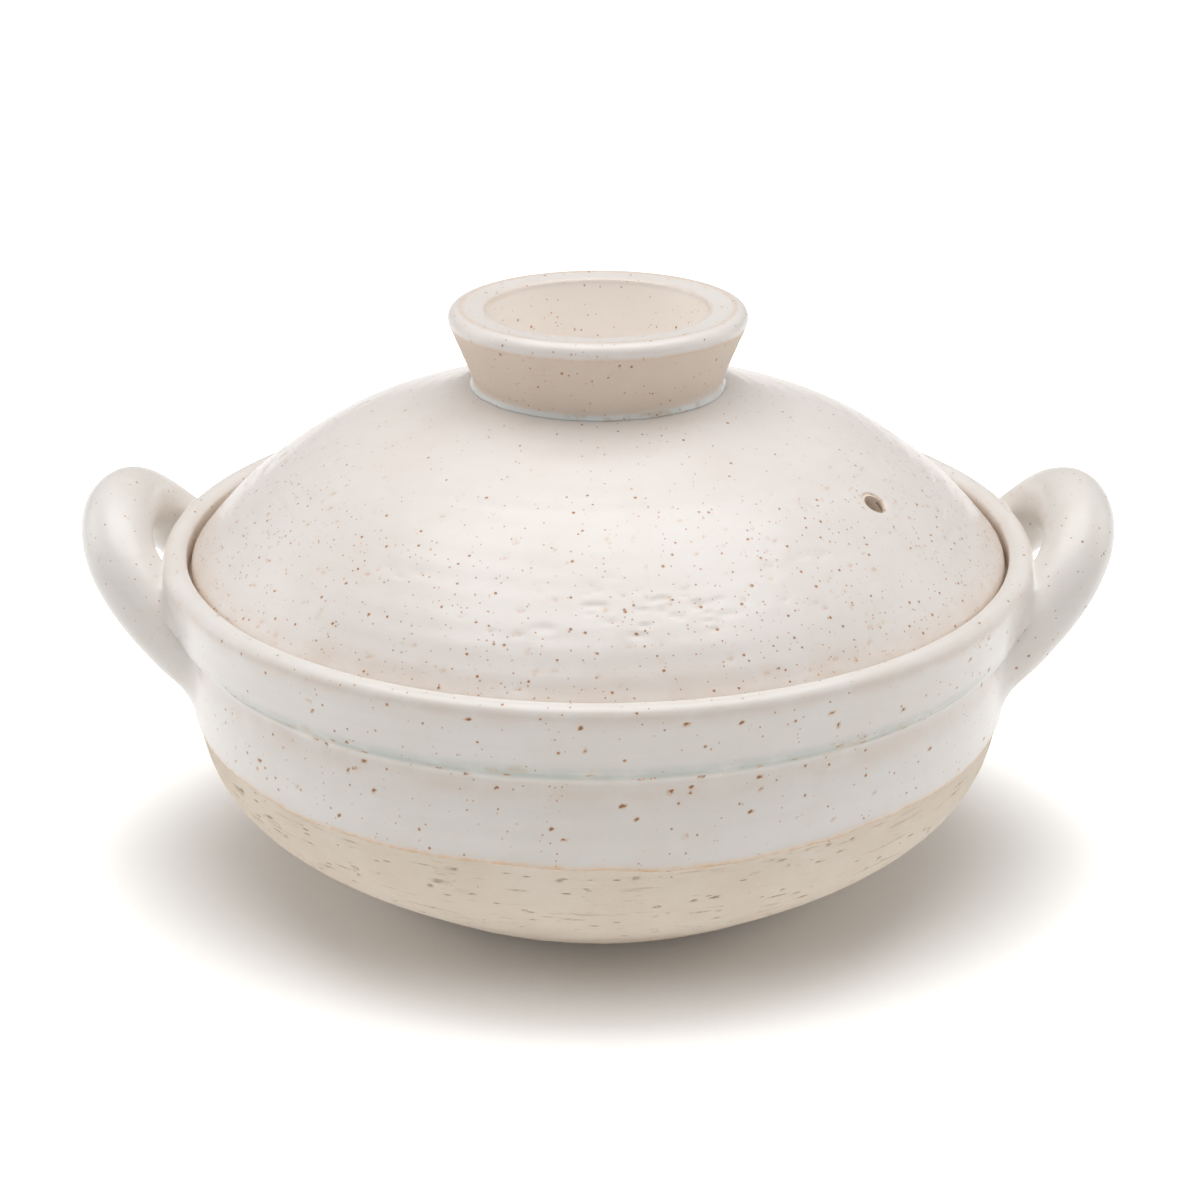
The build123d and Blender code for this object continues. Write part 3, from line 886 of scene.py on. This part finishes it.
def edge_loops(faces, places):
    """The outer loops of a patch of faces at the coat's back and one at its front, each in order
    around the steam hole's axis."""
    edges = np.concatenate([faces[:, [i, (i + 1) % 4]] for i in range(4)])
    pairs, counts = np.unique(np.sort(edges, 1), axis=0, return_counts=True)
    rim = np.unique(pairs[counts == 1])
    offset = places[rim] - hole_centre
    bend = on_dome(offset @ hole_side, offset @ hole_up)
    below = ((bend - places[rim]) @ hole_heading) > 0.5 * coat
    loops = []
    for group in (below, ~below):
        inside = rim[group]
        turn = np.arctan2(offset[group] @ hole_up, offset[group] @ hole_side)
        loops.append(inside[np.argsort(turn)])
    return loops


def strip_faces(outer, inner):
    """Faces between two loops of as many points, that face the side where both run anticlockwise."""
    after = np.roll(np.arange(len(outer)), -1)
    return np.stack([outer, outer[after], inner[after], inner], 1)


# Ring knob, glaze

knob_skin = softened(knob_outside(coat), 0.5)
knob_bare = spaced(knob_outside(0), 1.6)
pool_reach = 2.2


def make_knob_glaze():
    """The coat over the ring knob: a flat ring on top, a step at the ridge, a convex band with a
    crisp lower edge and a neck whose foot flares into a pool of glaze on the dome."""
    columns = 500
    lengths = np.linalg.norm(np.diff(knob_skin, axis=0), axis=1).sum()
    run = stations(knob_skin, lambda s: 0.62)
    place, normal = follow(knob_skin, run)
    outer = run < run_at(knob_skin, (knob_ridge_radius, crown_height + knob_ridge_rise + coat))
    dome_here = lid_level(place[:, 0])
    above = place[:, 1] - dome_here
    keep = above > -0.4
    run, place, normal, outer, above = run[keep], place[keep], normal[keep], outer[keep], above[keep]
    flare = np.where(outer, 1, 0.6) * pool_reach * np.clip(1 - above / (pool_reach * 1.5), 0, 1) ** 2.2
    turn, runs = grid_over(run, columns)
    uneven = 1 + 0.18 * lattice(turn, 0 * turn, 9, 1, 71) + 0.10 * lattice(turn, 0 * turn, 37, 1, 72)
    rough = thrown(turn, runs, lengths, 73, pitch=5.5, ring=0.05, wave=0.05, skin=0.02)
    height = flare[:, None] * uneven + np.minimum(rough - 0.12, 0) - 0.02
    reach, level = place[:, :1] + normal[:, :1] * height, place[:, 1:] + normal[:, 1:] * height * 0.25
    back_line = knob_bare[::-1]
    back_line = back_line[back_line[:, 1] > lid_level(back_line[:, 0]) - 1.4]
    back_reach = np.repeat(back_line[:, :1], columns, 1)
    back_level = np.repeat(back_line[:, 1:], columns, 1)
    flat = np.zeros_like(back_reach)
    lower = np.full_like(runs, 0.35)
    band_run = run_at(knob_skin, (knob_band_radius + coat, crown_height + knob_band_rise))
    ridge_run = run_at(knob_skin, (knob_ridge_radius, crown_height + knob_ridge_rise + coat))
    mouth_run = run_at(knob_skin, (knob_mouth_radius, crown_height + knob_mouth_rise + coat))
    neck = gather(runs, band_run + 0.1, band_run + 0.8) * smooth_step((above[:, None] - 0.9 * uneven) / 1.0)
    # Painted light: past the mouth the hollow's inner wall is made lighter, against the shade that falls
    # inside it
    inner = smooth_step((runs - mouth_run - 0.6) / 1.5)
    pool = gather(above[:, None] + 0 * runs, 0.6, 1.9)
    line = 0.5 * np.exp(-((runs - ridge_run) / 0.6) ** 2) + 0.25 * np.exp(-((runs - mouth_run) / 0.8) ** 2)
    line = line + 0.5 * np.exp(-((runs - band_run - 0.6) / 0.5) ** 2)
    return surface("knob_glaze", np.vstack([reach, back_reach]), np.vstack([level, back_level]), loop=True,
                   bare=np.vstack([neck, flat]), pool=np.vstack([pool, flat]), thin=np.vstack([line, flat]),
                   inner=np.vstack([inner, flat]), lower=np.vstack([lower, flat]))


# Materials


def put(tree, kind, settings=None, sockets=None):
    """A shader node with its settings, and its sockets set to constants or linked."""
    node = tree.nodes.new(kind)
    for key, value in (settings or {}).items():
        setattr(node, key, value)
    for key, value in (sockets or {}).items():
        if isinstance(value, bpy.types.NodeSocket):
            tree.links.new(value, node.inputs[key])
        else:
            node.inputs[key].default_value = value
    return node


def new_material(name):
    """A material with an empty node tree, and the tree."""
    material = bpy.data.materials.new(name)
    material.use_nodes = True
    material.node_tree.nodes.clear()
    return material, material.node_tree


def calc(tree, operation, a, b=0.0, clamp=False):
    """A math node's result."""
    return put(tree, "ShaderNodeMath", {"operation": operation, "use_clamp": clamp}, {0: a, 1: b}).outputs[0]


def remap(tree, value, low, high, to_low=0.0, to_high=1.0):
    """A value carried from one range to another along an S curve, and held at the ends."""
    sockets = {"Value": value, "From Min": low, "From Max": high, "To Min": to_low, "To Max": to_high}
    return put(tree, "ShaderNodeMapRange", {"interpolation_type": "SMOOTHSTEP"}, sockets).outputs[0]


def mix(tree, share, a, b):
    """Two colours mixed by a share of the second."""
    return put(tree, "ShaderNodeMix", {"data_type": "RGBA"}, {0: share, 6: a, 7: b}).outputs[2]


def tinted(tree, tone, share, most, shade):
    """A tone with a shade mixed in by a share of at most that much."""
    return mix(tree, calc(tree, "MULTIPLY", share, most), tone, shade)


def painted(tree, name):
    """A value that the mesh carries at its points."""
    return put(tree, "ShaderNodeAttribute", {"attribute_name": name}).outputs["Fac"]


def placed(tree, stretch=(1, 1, 1), shift=(0, 0, 0)):
    """The object's own coordinates, stretched and shifted."""
    place = put(tree, "ShaderNodeTexCoord").outputs["Object"]
    sockets = {"Vector": place, "Scale": stretch, "Location": shift}
    return put(tree, "ShaderNodeMapping", None, sockets).outputs[0]


def noise(tree, place, scale, detail=2.0, rough=0.5):
    """Smooth noise from about 0 to 1."""
    sockets = {"Vector": place, "Scale": scale, "Detail": detail, "Roughness": rough}
    return put(tree, "ShaderNodeTexNoise", None, sockets).outputs[0]


def specks(tree, place, cell, radii, share, softness=0.5):
    """Scattered round specks: one ball in some cells of a random lattice, its radius between two
    values in metres. The result is 1 inside a speck, and 0 outside."""
    scale = 1 / cell
    cells = put(tree, "ShaderNodeTexVoronoi", None, {"Vector": place, "Scale": scale})
    parts = put(tree, "ShaderNodeSeparateColor", None, {0: cells.outputs["Color"]})
    radius = remap(tree, parts.outputs[0], 0.0, 1.0, radii[0] * scale, radii[1] * scale)
    inside = calc(tree, "DIVIDE", cells.outputs["Distance"], radius)
    present = calc(tree, "LESS_THAN", parts.outputs[1], share)
    return calc(tree, "MULTIPLY", remap(tree, inside, 1.0, 1.0 - softness), present)


def colour(red, green, blue):
    """A colour given as 0 to 255 screen values, made linear."""
    values = np.array([red, green, blue]) / 255
    linear = np.where(values <= 0.04045, values / 12.92, ((values + 0.055) / 1.055) ** 2.4)
    return (*[float(v) for v in linear], 1.0)


def glaze(name, base, warm, speck_share, pit_share, blue):
    """Satin white glaze: faint warm clouds and throwing bands, iron specks, pinholes, blue-green where it is
    thick, which on the bowl is also darkened as painted shade in the groove, and orange where it runs thin
    over the clay."""
    material, tree = new_material(name)
    plain = placed(tree)
    clouds = noise(tree, plain, 26.0, 3.0, 0.55)
    small_clouds = noise(tree, placed(tree, shift=(0.3, 0.1, 0.7)), 130.0, 3.0, 0.6)
    bands = noise(tree, placed(tree, stretch=(9.0, 9.0, 420.0)), 1.0, 3.0, 0.6)
    tone = tinted(tree, base, remap(tree, clouds, 0.35, 0.7), 0.5, warm)
    tone = tinted(tree, tone, remap(tree, small_clouds, 0.45, 0.75), 0.3, warm)
    tone = tinted(tree, tone, remap(tree, bands, 0.5, 0.75), 0.25, warm)

    pool = painted(tree, "pool")
    cloudy = noise(tree, placed(tree, shift=(0.9, 0.2, 0.4)), 95.0, 3.0, 0.6)
    pooled = calc(tree, "MULTIPLY", pool, remap(tree, cloudy, 0.25, 0.6, 0.35, 0.95))
    tone = mix(tree, pooled, tone, blue)
    patches = noise(tree, placed(tree, stretch=(1, 1, 1.6), shift=(0.1, 0.8, 0.2)), 95.0, 3.0, 0.55)
    beige = calc(tree, "MULTIPLY", remap(tree, pool, 0.05, 0.5), remap(tree, patches, 0.56, 0.66))
    tone = tinted(tree, tone, beige, 0.5, colour(205, 188, 164))

    # Painted light: the knob's hollow is made nearly white, against the shade that falls inside it
    tone = tinted(tree, tone, painted(tree, "inner"), 0.95, colour(252, 244, 236))
    fine_grain = noise(tree, placed(tree, stretch=(1, 1, 1.5)), 900.0, 2.0, 0.6)
    neck = mix(tree, remap(tree, clouds, 0.35, 0.7), colour(232, 217, 202), colour(226, 209, 192))
    tone = mix(tree, painted(tree, "bare"), tone, neck)
    # A warmer, darker colour: a warm band on the bowl's lip and above the lid's edge, and painted shade below
    # the bowl's groove
    tint_and_shade_share = calc(tree, "MULTIPLY", painted(tree, "tint"), remap(tree, cloudy, 0.3, 0.65, 0.1, 0.45))
    tone = mix(tree, tint_and_shade_share, tone, colour(226, 206, 188))
    run_noise = noise(tree, plain, 300.0, 2.0, 0.6)
    thin = calc(tree, "MULTIPLY", painted(tree, "thin"), remap(tree, run_noise, 0.3, 0.7, 0.45, 0.95), True)
    tone = mix(tree, thin, tone, colour(222, 178, 126))

    lower = painted(tree, "lower")
    speck_share = calc(tree, "MULTIPLY", remap(tree, lower, 0.0, 0.8, 0.3, 1.0), speck_share)
    pit_share = calc(tree, "MULTIPLY", remap(tree, lower, 0.0, 0.7, 0.3, 1.0), pit_share)
    freckles = specks(tree, placed(tree, shift=(0.5, 0.5, 0.5)), 0.0018, (0.00018, 0.0004), speck_share, 0.5)
    spots = specks(tree, placed(tree, shift=(0.2, 0.4, 0.1)), 0.0034, (0.00026, 0.0005), pit_share, 0.4)
    halos = specks(tree, placed(tree, shift=(0.2, 0.4, 0.1)), 0.0034, (0.0006, 0.0011), pit_share, 1.0)
    tone = tinted(tree, tone, halos, 0.22, colour(216, 190, 158))
    tone = tinted(tree, tone, freckles, 0.8, colour(212, 156, 102))
    tone = tinted(tree, tone, spots, 0.95, colour(200, 134, 72))
    mark = painted(tree, "mark")
    mark_noise = noise(tree, placed(tree, shift=(0.6, 0.1, 0.3)), 420.0, 2.0, 0.6)
    patchy = remap(tree, mark_noise, 0.36, 0.54, 0.15, 0.6)
    stain = calc(tree, "MULTIPLY", remap(tree, mark, 0.05, 0.35), patchy)
    tone = mix(tree, stain, tone, colour(212, 166, 112))
    # Darker brown in the middle of the deeper dents and pits
    patchy = remap(tree, mark_noise, 0.40, 0.47, 0.2, 0.95)
    dark_dent_middle = calc(tree, "MULTIPLY", remap(tree, mark, 0.36, 0.5), patchy)
    tone = mix(tree, dark_dent_middle, tone, colour(142, 90, 44))

    holes = calc(tree, "ADD", calc(tree, "MULTIPLY", freckles, 0.10), calc(tree, "MULTIPLY", spots, 0.30))
    skin = calc(tree, "MULTIPLY", noise(tree, placed(tree, stretch=(1, 1, 2.2)), 330.0, 2.0, 0.5), 0.035)
    drawn = calc(tree, "MULTIPLY", noise(tree, placed(tree, stretch=(14, 14, 900.0)), 1.0, 2.0, 0.6), 0.028)
    relief = calc(tree, "SUBTRACT", calc(tree, "ADD", skin, drawn), holes)
    matt_relief = calc(tree, "MULTIPLY", calc(tree, "MULTIPLY", fine_grain, painted(tree, "bare")), 0.03)
    relief = calc(tree, "ADD", relief, matt_relief)
    bump = put(tree, "ShaderNodeBump", None, {"Strength": 1.0, "Distance": 0.001, "Height": relief})
    rough = calc(tree, "ADD", 0.42, calc(tree, "MULTIPLY", painted(tree, "bare"), 0.2), True)
    sheen = calc(tree, "MULTIPLY", calc(tree, "SUBTRACT", 1.0, painted(tree, "bare"), True), 0.30)
    shader = put(tree, "ShaderNodeBsdfPrincipled", None, {
        "Base Color": tone, "Roughness": rough, "IOR": 1.5, "Coat Weight": sheen, "Coat Roughness": 0.16,
        "Normal": bump.outputs[0]})
    put(tree, "ShaderNodeOutputMaterial", None, {"Surface": shader.outputs[0]})
    return material


def bare_clay(name):
    """Matt sandy stoneware: grains of two sizes, horizontal drag marks, and small holes."""
    material, tree = new_material(name)
    clouds = noise(tree, placed(tree), 40.0, 3.0, 0.6)
    drags = noise(tree, placed(tree, stretch=(70, 70, 800.0)), 1.0, 3.0, 0.6)
    tone = mix(tree, remap(tree, clouds, 0.3, 0.7), colour(250, 238, 223), colour(245, 230, 212))
    tone = tinted(tree, tone, remap(tree, drags, 0.60, 0.70), 0.35, colour(186, 158, 124))
    grains = specks(tree, placed(tree, shift=(0.3, 0.3, 0.3)), 0.0018, (0.0001, 0.0004), 0.4, 0.5)
    quartz = specks(tree, placed(tree, shift=(0.1, 0.6, 0.9)), 0.0060, (0.0003, 0.0009), 0.35, 0.4)
    dark = specks(tree, placed(tree, shift=(0.7, 0.2, 0.5)), 0.0036, (0.0001, 0.00042), 0.5, 0.5)
    dashes = specks(tree, placed(tree, stretch=(0.2, 0.2, 1.0), shift=(0.4, 0.2, 0.6)), 0.0016,
                    (0.00012, 0.00036), 0.6, 0.6)
    tone = tinted(tree, tone, grains, 0.5, colour(252, 243, 228))
    tone = tinted(tree, tone, dashes, 0.7, colour(162, 122, 80))
    tone = tinted(tree, tone, quartz, 0.7, colour(246, 242, 234))
    tone = tinted(tree, tone, dark, 0.6, colour(156, 118, 80))
    # Darker brown inside the clay's drag marks and holes
    darker_in_dents = calc(tree, "MULTIPLY", remap(tree, painted(tree, "mark"), 0.2, 0.8),
                remap(tree, noise(tree, placed(tree), 600.0, 2.0, 0.6), 0.35, 0.6, 0.25, 0.8))
    tone = mix(tree, darker_in_dents, tone, colour(158, 122, 84))
    grain = noise(tree, placed(tree), 1500.0, 3.0, 0.7)
    relief = calc(tree, "SUBTRACT", calc(tree, "MULTIPLY", grain, 0.24), calc(tree, "MULTIPLY", drags, 0.30))
    relief = calc(tree, "ADD", relief, calc(tree, "MULTIPLY", grains, 0.05))
    relief = calc(tree, "SUBTRACT", relief, calc(tree, "MULTIPLY", dark, 0.14))
    relief = calc(tree, "SUBTRACT", relief, calc(tree, "MULTIPLY", dashes, 0.18))
    bump = put(tree, "ShaderNodeBump", None, {"Strength": 1.0, "Distance": 0.001, "Height": relief})
    shader = put(tree, "ShaderNodeBsdfPrincipled", None, {
        "Base Color": tone, "Roughness": 0.88, "IOR": 1.45, "Normal": bump.outputs[0]})
    put(tree, "ShaderNodeOutputMaterial", None, {"Surface": shader.outputs[0]})
    return material


# Stage


def make_floor():
    """A wide pale floor that keeps the pot's shadow and reads white away from it, past an oval that
    is longer along X."""
    half = 9000.0
    corners = [(-half, -half, 0), (half, -half, 0), (half, half, 0), (-half, half, 0)]
    floor = mesh_piece("floor", corners, [np.array([[0, 1, 2, 3]])])
    material, tree = new_material("floor_white")
    matt = put(tree, "ShaderNodeBsdfDiffuse", None, {"Color": (0.93, 0.92, 0.905, 1.0)})
    rays = put(tree, "ShaderNodeLightPath")
    seen = calc(tree, "MAXIMUM", rays.outputs["Is Camera Ray"], rays.outputs["Is Glossy Ray"])
    place = put(tree, "ShaderNodeTexCoord").outputs["Object"]
    oval = put(tree, "ShaderNodeVectorMath", {"operation": "MULTIPLY"}, {0: place, 1: shadow_oval}).outputs[0]
    away = put(tree, "ShaderNodeVectorMath", {"operation": "LENGTH"}, {0: oval}).outputs["Value"]
    glow = calc(tree, "MULTIPLY", seen, remap(tree, away, *shadow_reach, 0.0, floor_glow))
    lamp = put(tree, "ShaderNodeEmission", None, {"Color": (1, 1, 1, 1), "Strength": glow})
    both = put(tree, "ShaderNodeAddShader", None, {0: matt.outputs[0], 1: lamp.outputs[0]})
    put(tree, "ShaderNodeOutputMaterial", None, {"Surface": both.outputs[0]})
    floor.data.materials.append(material)


def make_world():
    """Even soft light from all round, and plain white where the camera looks past the floor."""
    world = bpy.data.worlds.new("studio")
    bpy.context.scene.world = world
    world.use_nodes = True
    tree = world.node_tree
    tree.nodes.clear()
    rays = put(tree, "ShaderNodeLightPath")
    seen = calc(tree, "MULTIPLY", rays.outputs["Is Camera Ray"], 1.0 - world_strength)
    strength = calc(tree, "ADD", world_strength, seen)
    sky = put(tree, "ShaderNodeBackground", None, {"Color": (1, 1, 1, 1), "Strength": strength})
    put(tree, "ShaderNodeOutputWorld", None, {"Surface": sky.outputs[0]})


def make_lamp(name, place, size, power, aim=(0, 0, 0.08)):
    """A soft rectangular lamp aimed at the pot."""
    data = bpy.data.lights.new(name, "AREA")
    data.shape = "RECTANGLE"
    data.size, data.size_y = size
    data.energy = power
    lamp = bpy.data.objects.new(name, data)
    lamp.location = place
    away = np.array(place) - np.array(aim)
    lamp.rotation_euler = (math.acos(away[2] / np.linalg.norm(away)), 0, math.atan2(away[0], -away[1]))
    bpy.context.scene.collection.objects.link(lamp)


world_strength = 0.27
# The floor's own white starts at the first distance from the axis, in metres, and is full at the second
floor_glow = 0.8
shadow_reach = (0.075, 0.15)
shadow_oval = (0.68, 1, 1)
# Each lamp's name, place, size and power
lamps = (("overhead", (0.0, 0.05, 1.35), (1.5, 1.1), 14.6),
         ("left", (-1.5, 0.35, 0.55), (1.0, 0.9), 4.0),
         ("right", (1.5, 0.35, 0.55), (1.0, 0.9), 3.0),
         ("front", (0.1, -1.9, 0.75), (1.6, 0.9), 2.7))

make_camera()
make_floor()
make_world()
for name, place, size, power in lamps:
    make_lamp(name, place, size, power)
bpy.context.scene.view_settings.view_transform = "Standard"

lid_glaze = glaze("lid_glaze_satin", colour(239, 232, 227), colour(233, 223, 214), 1.0, 1.0,
                  colour(232, 235, 233))
# The bowl's pool colour is grey-blue glaze, darkened as painted shade of the groove
bowl_glaze = glaze("bowl_glaze_satin", colour(239, 234, 229), colour(232, 224, 215), 1.0, 1.3,
                   colour(188, 196, 191))
clay = bare_clay("sandy_clay")


def finish_piece(piece, body, material, slot, *stands_for):
    """Gives a piece its material, ties it to its body and hides the nodes that it stands for; the slot is not
    used.
    """
    piece.data.materials.clear()
    piece.data.materials.append(material)
    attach(piece, body)
    if stands_for:
        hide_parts(*stands_for)


finish_piece(make_bowl_clay(), "bowl", clay, "bare_clay", "bowl_body")
finish_piece(make_bowl_glaze(), "bowl", bowl_glaze, "bowl_glaze", "bowl_outer_glaze")
finish_piece(make_inner_glaze(), "bowl", bowl_glaze, "bowl_glaze", "bowl_inner_glaze")
for side, label, seed in ((1, "right", 81), (-1, "left", 85)):
    bar = make_handle("handle_clay_" + label, side, seed, -bare_inset)
    finish_piece(bar, "bowl", clay, "bare_clay", "handle_" + label)
    bar = make_handle("handle_coat_" + label, side, seed, coat)
    finish_piece(bar, "bowl", bowl_glaze, "bowl_glaze", "bowl_outer_glaze")
finish_piece(make_dome_glaze(), "lid", lid_glaze, "lid_glaze", "lid_outer_glaze")
finish_piece(make_knob_glaze(), "lid", lid_glaze, "lid_glaze", "lid_outer_glaze")

for node, material, slot in (("lid_dome", clay, "bare_clay"), ("lid_knob", clay, "bare_clay"),
                             ("lid_inner_glaze", lid_glaze, "lid_glaze")):
    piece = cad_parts[node]
    piece.data.materials.clear()
    piece.data.materials.append(material)
